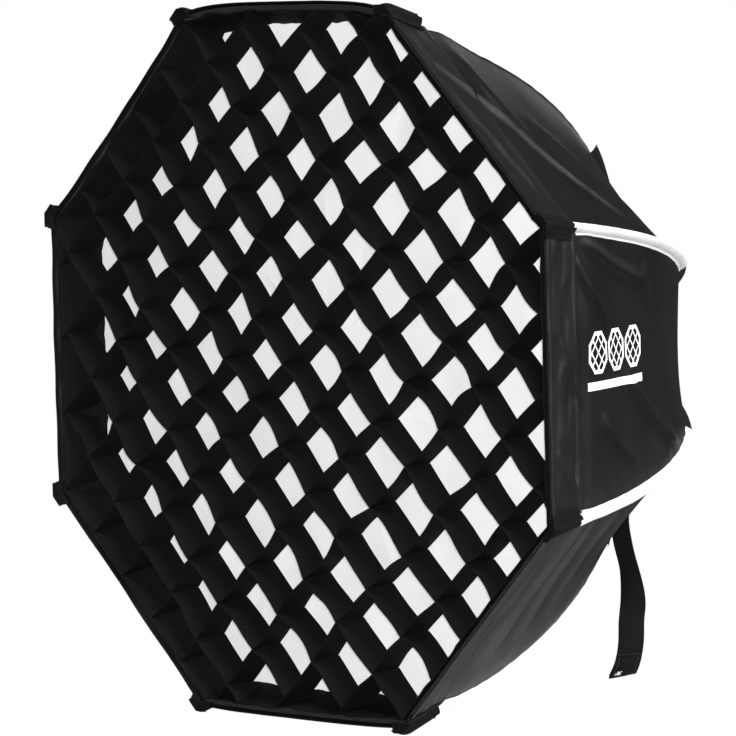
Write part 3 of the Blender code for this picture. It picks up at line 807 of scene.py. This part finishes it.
# ---- the grid ----
def drift(x, z, depth):
    """How far the grid's cloth has moved sideways at a place, the same for every strip there."""
    distance = max(x * cos(2 * HALF_SIDE * i) + z * sin(2 * HALF_SIDE * i) for i in range(CORNERS))
    free = smooth(inner_apothem(depth), 0.215, distance)
    size = lerp(DRIFT_FRONT, DRIFT_BACK, depth / STRIP_BACK) * free
    closer = GRID_TAPER * depth / STRIP_BACK * free
    slack = GRID_SLACK * smooth(0.27, 0.15, distance) * smooth(0.24, 0.02, x)
    slack *= lerp(1.6, 1.0, smooth(-0.2, 0.05, z))
    return Vector((size * rough(x, z, 1.5, 21.0) - closer * x - slack, 0.0,
                   size * rough(x, z, 8.5, 21.0) - closer * z))


def inner_apothem(depth):
    return band_apothem(depth, STRIP_END_OFFSET)


NORMALS = [Vector((cos(2 * HALF_SIDE * i), sin(2 * HALF_SIDE * i))) for i in range(CORNERS)]


def reach(offset, heading, depth, way):
    """How far a strip runs from its middle before it meets the border."""
    across = Vector((-sin(heading), cos(heading)))
    along = Vector((cos(heading), sin(heading))) * way
    found = []
    for i, normal in enumerate(NORMALS):
        if along.dot(normal) > 0.05:
            straight = (inner_apothem(depth) - (across * offset).dot(normal)) / along.dot(normal)
            hit = across * offset + along * straight
            share = (hit.y * normal.x - hit.x * normal.y) / (inner_apothem(depth) * tan(HALF_SIDE))
            out = rim_bulge(i, share, depth) if abs(share) < 1 else 0.0
            found.append(straight + out / along.dot(normal))
    return min(found) - 0.0006


def crossings(offset, heading):
    """Places along a strip where the other family crosses it: in full, and only at its slanted end."""
    across = Vector((-sin(heading), cos(heading)))
    along = Vector((cos(heading), sin(heading)))
    full = []
    at_end = []
    for i in range(-STRIPS_PER_SIDE, STRIPS_PER_SIDE + 1):
        point = across * offset + along * (i * PITCH)
        outermost = max(point.dot(normal) for normal in NORMALS)
        if outermost < inner_apothem(STRIP_BACK) - 0.0012:
            full.append(i * PITCH)
        elif outermost < inner_apothem(GRID_FRONT) + 0.0024:
            at_end.append(i * PITCH)
    return full, at_end


def make_strip(name, offset, heading, slots_at_front):
    """One strip: half-lap slots where it crosses the others, and slack that bows between them."""
    along = Vector((cos(heading), 0, sin(heading)))
    across = Vector((-sin(heading), 0, cos(heading)))
    full, at_end = crossings(offset, heading)
    if slots_at_front:
        at_end = []
    low = max([x + SLOT for x in at_end if x < 0], default=-RIM_RADIUS)
    high = min([x - SLOT for x in at_end if x > 0], default=RIM_RADIUS)
    draw = random.Random(name)
    cells = range(len(full) + 1)
    bows = [draw.uniform(-MOST_BOW, MOST_BOW) for _ in cells]
    curls = [draw.uniform(-0.0010, 0.0010) for _ in cells]
    slacks = [draw.uniform(0.0002, 0.0016) for _ in cells]

    def stops(depth):
        ends = (max(low, -reach(offset, heading, depth, -1)), min(high, reach(offset, heading, depth, 1)))
        return [ends[0]] + full + [ends[1]]

    columns = []
    slotted = set()
    for cell in cells:
        columns += [cell + t for t in steps(CELL_STEPS, 0.0 if cell == 0 else 0.0001, 0.9999)]
        slotted.add(len(columns) - 1)
    columns[-1] = len(full) + 1.0

    def place(u, v):
        depth = lerp(GRID_FRONT, STRIP_BACK, v)
        cell = min(int(u), len(full))
        t = u - cell
        marks = stops(depth)
        start = marks[cell] + (SLOT if cell > 0 else 0)
        end = marks[cell + 1] - (SLOT if cell < len(full) else 0)
        x = lerp(start, end, t)
        flat_point = across * offset + along * x
        loose = min((end - start) / PITCH, 1.0)
        hump = sin(pi * t)
        sideways = (bows[cell] * hump + curls[cell] * sin(2 * pi * t)) * loose
        sideways *= lerp(1.0, 0.22, v)
        back = slacks[cell] * hump * (1 - v) ** 2 * loose
        point = flat_point + across * sideways + drift(flat_point.x, flat_point.z, depth)
        return Vector((point.x, FRONT_Y + depth + back, point.z))

    def flat(u, v):
        cell = min(int(u), len(full))
        marks = stops(lerp(GRID_FRONT, STRIP_BACK, v))
        return lerp(marks[cell], marks[cell + 1], u - cell), v * (STRIP_BACK - GRID_FRONT)

    def keep(i, j):
        in_slotted_half = j < DEPTH_STEPS / 2 if slots_at_front else j >= DEPTH_STEPS / 2
        return not (i in slotted and in_slotted_half)

    net = laid(place, flat, columns, steps(DEPTH_STEPS), lambda c: across, keep)
    strip = from_net(name, net, grid_cloth, STRIP_THICKNESS, 0.0)
    length = stops(GRID_FRONT)[-1] - stops(GRID_FRONT)[0]
    return strip, length


for family, heading, slots_at_front in (("rising", 45, True), ("falling", 135, False)):
    for i in range(-STRIPS_PER_SIDE, STRIPS_PER_SIDE + 1):
        node = f"grid_strip_{family}_{i + STRIPS_PER_SIDE + 1:02d}"
        strip, length = make_strip("soft_" + node, i * PITCH, radians(heading + GRID_TWIST), slots_at_front)
        finish_piece(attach(strip, "grid"), node)


def make_grid_band(name, start, end, offset, wrinkles, finish, thickness, rows):
    """An eight-sided band of the grid; it has soft wrinkles along its flats."""
    def place(u, v):
        side = min(int(u), CORNERS - 1)
        t = 2 * (u - side) - 1
        depth = lerp(start, end, v)
        fold = hem = wave = 0.0
        if wrinkles:
            calm = smooth(1.0, 0.9, abs(t))
            soft = rough(t * 2.3, v * 0.8, side * 3.0, 2.1) * 0.8
            soft += rough(t * 2.3, v, side * 5.0 + 2, 5.0) * 0.4
            ragged = 0.0032 * max(rough(t * 2.9, side * 2.3, 4.0, 2.6), 0.0) * smooth(0.55, 1.0, v)
            fold = (wrinkles * (0.5 + soft) * calm * (1 - 0.4 * v) + ragged * calm) * BORDER_SLACK[side]
            hem = 0.0006 * smooth(0.0042, 0.003, depth - start)
            wave = 0.0009 * rough(t * 2.0, side * 1.3, 0.0, 2.0) * smooth(0.4, 0.0, v) * calm
            wave -= 0.0045 * max(rough(t * 2.7, side * 4.1, 7.0, 3.0), 0.0) * smooth(0.5, 1.0, v) * calm
        apothem = band_apothem(depth, offset - fold - hem + rim_bulge(side, t, depth))
        return around(2 * HALF_SIDE * side, apothem, depth + wave, t * apothem * tan(HALF_SIDE))

    def flat(u, v):
        return (end - start) * v, u * 2 * HALF_WIDTH

    net = laid(place, flat, steps(CORNERS * 44, 0, CORNERS), steps(rows), from_axis, closed=True)
    return from_net(name, net, finish, thickness)


border = make_grid_band("soft_grid_border", GRID_FRONT, BORDER_BACK, BORDER_OFFSET, 0.0026,
                        border_cloth, 0.0009, 18)
finish_piece(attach(border, "grid"), "grid_border")
hooks = make_grid_band("soft_grid_hook_tape", 0.004, 0.024, LIP_OFFSET - 2 * CLOTH_LAYER, 0.0,
                       hook_tape, 0.0010, 4)
finish_piece(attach(hooks, "grid"), "grid_hook_tape")


# ---- the storage strap ----
def on_route(v):
    """A smooth curve through the strap's points."""
    place = v * (len(STRAP_ROUTE) - 1)
    i = min(int(place), len(STRAP_ROUTE) - 2)
    t = place - i
    a, b, c, d = [Vector(STRAP_ROUTE[min(max(k, 0), len(STRAP_ROUTE) - 1)]) for k in range(i - 1, i + 3)]
    square, cube = 2 * a - 5 * b + 4 * c - d, 3 * b - a - 3 * c + d
    return 0.5 * (2 * b + (c - a) * t + square * t * t + cube * t ** 3)


def strap_place(u, v, lift=0.0):
    """On the strap: u is -1 to 1 across it and v 0 to 1 down it; lift is off its front face."""
    v -= STRAP_SLANT * (1 + u) * smooth(0.8, 1.0, v)
    middle = on_route(v)
    below = on_route(min(v + 0.01, 1.0)) - on_route(max(v - 0.01, 0.0))
    turn = radians(-9.0 + 10.0 * min(v / 0.45, 1.0) + 44.0 * smooth(0.42, 0.66, v))
    across = Vector((cos(turn), sin(turn), 0))
    along = Vector((below.x, 0, below.y)).normalized()
    front = across.cross(along).normalized()
    curl = 0.0011 * u * u * sin(pi * v) + 0.0008 * rough(v * 9, u, 3.0) * smooth(0, 0.2, v)
    return (Vector((middle.x, STRAP_Y, middle.y)) + across * (u * STRAP_WIDTH / 2)
            + front * (curl + lift))


def make_strap():
    """Webbing whose end is folded back on itself and sewn down."""
    def place(u, v):
        bulge = 0.0009 * smooth(1 - STRAP_FOLD / STRAP_LENGTH - 0.015, 1 - STRAP_FOLD / STRAP_LENGTH, v)
        round_end = sqrt(max(1 - max((v - 0.985) / 0.015, 0.0) ** 2 * 0.5, 0.0))
        return strap_place(u * round_end, v, bulge / 2)

    def flat(u, v):
        return u * STRAP_WIDTH / 2, v * STRAP_LENGTH

    net = laid(place, flat, steps(8, -1, 1), steps(64), to_front)
    strap = from_net("soft_strap", net, webbing, 0.0015, 0.0)
    edge = strap.modifiers.new("edge", 'BEVEL')
    edge.width = 0.0004
    edge.segments = 2
    edge.angle_limit = radians(60)
    return strap


def make_strap_fold():
    """The folded-back end, behind the strap."""
    low = 1 - STRAP_FOLD / STRAP_LENGTH

    def place(u, v):
        return strap_place(u, lerp(low, 0.995, v), -0.0021 + 0.0010 * smooth(0.9, 1.0, v))

    def flat(u, v):
        return u * STRAP_WIDTH / 2, lerp(low, 0.995, v) * STRAP_LENGTH

    net = laid(place, flat, steps(6, -0.97, 0.97), steps(12), lambda c: -to_front(c))
    return from_net("soft_strap_fold", net, webbing, 0.0012, 0.0)


webbing = make_webbing()
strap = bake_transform(make_strap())
finish_piece(strap, "storage_strap")
strap_fold = finish_piece(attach(make_strap_fold(), "strap"))


# ---- turned and moulded pieces ----
def turned(name, outline, centre, axis, finish, segments=28, sharp=35, wave=None):
    """A solid of revolution: (radius, height) pairs along the axis; wave(angle, height) scales a radius."""
    net = bmesh.new()
    turn = axis.normalized().to_track_quat('Z', 'Y').to_matrix()
    rings = []
    for radius, height in outline:
        ring = []
        for i in range(segments if radius > 1e-6 else 1):
            angle = 2 * pi * i / segments
            out = radius * wave(angle, height) if wave else radius
            ring.append(net.verts.new(centre + turn @ Vector((out * cos(angle), out * sin(angle), height))))
        rings.append(ring)
    for low, high in zip(rings, rings[1:]):
        for i in range(segments):
            k = i + 1
            corners = [low[i % len(low)], low[k % len(low)], high[k % len(high)], high[i % len(high)]]
            net.faces.new(list(dict.fromkeys(corners))).smooth = True
    for ring in (rings[0], rings[-1]):
        if len(ring) > 1:
            net.faces.new(ring)
    bmesh.ops.recalc_face_normals(net, faces=net.faces)
    piece = from_net(name, net, finish)
    piece.data.set_sharp_from_angle(angle=radians(sharp))
    return piece


def make_snap():
    """The press stud near the strap's end: a domed cap with a rolled edge."""
    centre = strap_place(-0.45, 0.955, -0.0027)
    a = strap_place(-0.45, 0.985) - centre
    b = strap_place(0.45, 0.955) - centre
    out = a.cross(b).normalized()
    out = -out if out.y > 0 else out
    outline = [(0.0, 0.0), (0.0036, 0.0), (0.0040, 0.0004), (0.0038, 0.0009), (0.0032, 0.0010),
               (0.0027, 0.0008), (0.0022, 0.0013), (0.0012, 0.0018), (0.0, 0.0019)]
    return turned("soft_strap_snap", outline, centre, out, bare_metal)


finish_piece(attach(make_snap(), "strap"), "strap_snap")


def make_knob():
    """The clamp knob: a scalloped grip with a domed end and a collar."""
    low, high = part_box("clamp_knob")
    length = high.z - low.z
    radius = (high.x - low.x) / 2
    heights = [0.0, 0.0006, 0.0022, 0.0036, 0.0042, 0.0060, 0.0110, length - 0.0014, length - 0.0004, length]
    sizes = [0.55, 0.62, 0.62, 0.66, 0.94, 1.0, 1.0, 0.98, 0.90, 0.80]

    def scallops(angle, height):
        return 1 - 0.055 * smooth(0.0038, 0.0060, height) * (0.5 - 0.5 * cos(12 * angle))

    outline = [(radius * size, height) for height, size in zip(heights, sizes)]
    top = Vector(((low.x + high.x) / 2, (low.y + high.y) / 2, high.z))
    return turned("moulded_clamp_knob", outline, top, Vector((0, 0, -1)), black_plastic, 96, 50, scallops)


finish_piece(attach(make_knob(), "knob"), "clamp_knob")

SCREW_HEAD = [(0.0, -0.0006), (0.0019, -0.0006), (0.0032, 0.0), (0.0034, 0.0006), (0.0028, 0.0016),
              (0.0015, 0.0021), (0.0010, 0.0021), (0.0009, 0.0012), (0.0, 0.0012)]
SCREW_RADIUS = 0.0513  # from the axis to each screw
for i in range(4):
    angle = pi / 4 + i * pi / 2
    spot = Vector((SCREW_RADIUS * cos(angle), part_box("retainer_ring")[0].y, SCREW_RADIUS * sin(angle)))
    screw = turned(f"retainer_screw_{i + 1}", SCREW_HEAD, spot, Vector((0, -1, 0)), bare_metal, 20)
    finish_piece(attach(screw, "lamp_ring"))


def finished(names, finish, edge=0.0):
    """Machined copies of CAD nodes: the same shape, shaded round, with their sharp edges just broken."""
    for name in names:
        node = frame["nodes"][name]
        net = bmesh.new()
        net.from_mesh(node.data)
        bmesh.ops.remove_doubles(net, verts=net.verts, dist=0.00001)
        bmesh.ops.dissolve_limit(net, angle_limit=radians(1), verts=net.verts, edges=net.edges)
        for face in net.faces:
            face.smooth = True
        piece = from_net(f"finished_{name}", net, finish)
        piece.data.set_sharp_from_angle(angle=radians(30))
        if edge:
            broken = piece.modifiers.new("edge", 'BEVEL')
            broken.width = edge
            broken.segments = 2
            broken.limit_method = 'ANGLE'
            broken.angle_limit = radians(40)
            broken.harden_normals = True
        finish_piece(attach(piece, node["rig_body"]), name)


RIBS = range(1, CORNERS + 1)
finished(["bayonet_ring", "clamp_screw"], bare_metal, 0.0004)
finished([f"rib_rod_{i}" for i in RIBS], rod_metal)
finished(["speed_ring", "retainer_ring"], black_metal, 0.0004)
finished([f"rib_heel_{i}" for i in RIBS], black_metal, 0.0004)


# ---- stage, lights and camera ----
def make_floor():
    """A wide pale floor."""
    net = bmesh.new()
    bmesh.ops.create_circle(net, cap_ends=True, segments=64, radius=FLOOR_RADIUS,
                            matrix=Matrix.Translation((0, 0, cad_box[0].z - FLOOR_DROP)))
    pale = Finish("floor", (0.80, 0.80, 0.80), 0.9)
    pale.set_color(pale.tint(pale.speckle(3.0), 0.995, 1.005, (0.80, 0.80, 0.80)))
    floor = from_net("floor", net, pale)


def outwards(azimuth, elevation):
    """A direction away from the box; azimuth 0 is its front and -90 its right."""
    a = radians(azimuth)
    e = radians(elevation)
    return Vector((-sin(a) * cos(e), -cos(a) * cos(e), sin(e)))


def hold(name, data, place, out):
    """An object that looks back along out from a place."""
    holder = bpy.data.objects.new(name, data)
    holder.matrix_world = Matrix.Translation(place) @ (-out).to_track_quat('-Z', 'Y').to_matrix().to_4x4()
    bpy.context.scene.collection.objects.link(holder)
    return holder


def make_sun(name, strength, azimuth, elevation, width):
    """A wide soft sun."""
    sun = bpy.data.lights.new(name, 'SUN')
    sun.energy = strength
    sun.angle = radians(width)
    out = outwards(azimuth, elevation)
    hold(name, sun, out * VIEW_DISTANCE, out)


def make_key(strength):
    """The main light, just above the camera, so that the cells' shadows fall behind the strips."""
    key = bpy.data.lights.new("key", 'AREA')
    key.shape = 'DISK'
    key.size = 0.16
    key.energy = strength * pi * VIEW_DISTANCE ** 2
    out = outwards(VIEW_AZIMUTH, VIEW_ELEVATION)
    hold("key", key, VIEW_TARGET + out * VIEW_DISTANCE + Vector((0, 0, 0.04)), out)


def make_world(light, backdrop):
    """An even white room: light is how strongly it lights the box, backdrop how bright it looks."""
    world = bpy.data.worlds.new("white_room")
    world.use_nodes = True
    nodes = world.node_tree.nodes
    strength = nodes.new("ShaderNodeMapRange")
    strength.inputs["To Min"].default_value = light
    strength.inputs["To Max"].default_value = backdrop
    world.node_tree.links.new(nodes.new("ShaderNodeLightPath").outputs["Is Camera Ray"], strength.inputs[0])
    world.node_tree.links.new(strength.outputs[0], nodes["Background"].inputs["Strength"])
    nodes["Background"].inputs["Color"].default_value = (1, 1, 1, 1)
    bpy.context.scene.world = world


def make_camera():
    """The camera: 45 degrees to the box's right and a little above it."""
    lens = bpy.data.cameras.new("camera")
    lens.sensor_width = 36.0
    lens.lens = VIEW_LENS
    lens.clip_end = 100.0
    out = outwards(VIEW_AZIMUTH, VIEW_ELEVATION)
    camera = hold("camera", lens, VIEW_TARGET + out * VIEW_DISTANCE, out)
    camera.matrix_world = camera.matrix_world @ Matrix.Rotation(radians(VIEW_ROLL), 4, 'Z')
    bpy.context.scene.camera = camera


bpy.context.scene.view_settings.view_transform = 'Standard'
make_floor()
make_world(0.08, 1.0)
make_key(4.3)
make_sun("overhead", 3.0, -64.0, 56.0, 20)
make_sun("rim", 4.0, -128.0, 22.0, 8)
make_camera()
